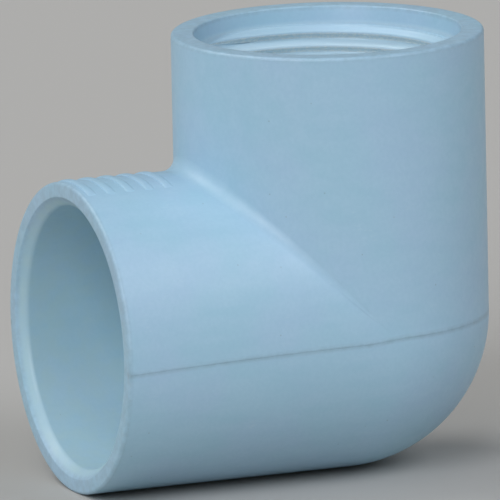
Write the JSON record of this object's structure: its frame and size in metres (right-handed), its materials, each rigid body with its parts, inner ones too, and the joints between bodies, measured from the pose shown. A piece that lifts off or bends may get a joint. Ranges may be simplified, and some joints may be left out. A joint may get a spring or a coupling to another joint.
{
  "type": "pipe elbow",
  "caption": "Pale blue 90 degree PVC pipe elbow with a plain slip socket at one end and a female taper pipe thread at the other.",
  "frame": {"origin": "centre of the pipe stop at the bottom of the slip socket, where the end of the pipe seats", "axes": "-X out of the slip socket's mouth along the pipe, +Z out of the threaded port, Y across the elbow; the two port axes cross at X = 21.4 mm"},
  "size_m": [0.0708, 0.0502, 0.0708],
  "materials": {
    "pvc": "satin moulded PVC, pale blue"
  },
  "bodies": {
    "root": {"socket_hub": "pvc", "elbow_body": "pvc", "heel": "pvc", "threaded_hub": "pvc", "pipe_thread": "pvc", "crotch_fillet": "pvc", "parting_line": "pvc", "raised_bars": "pvc"}
  },
  "joints": []
}
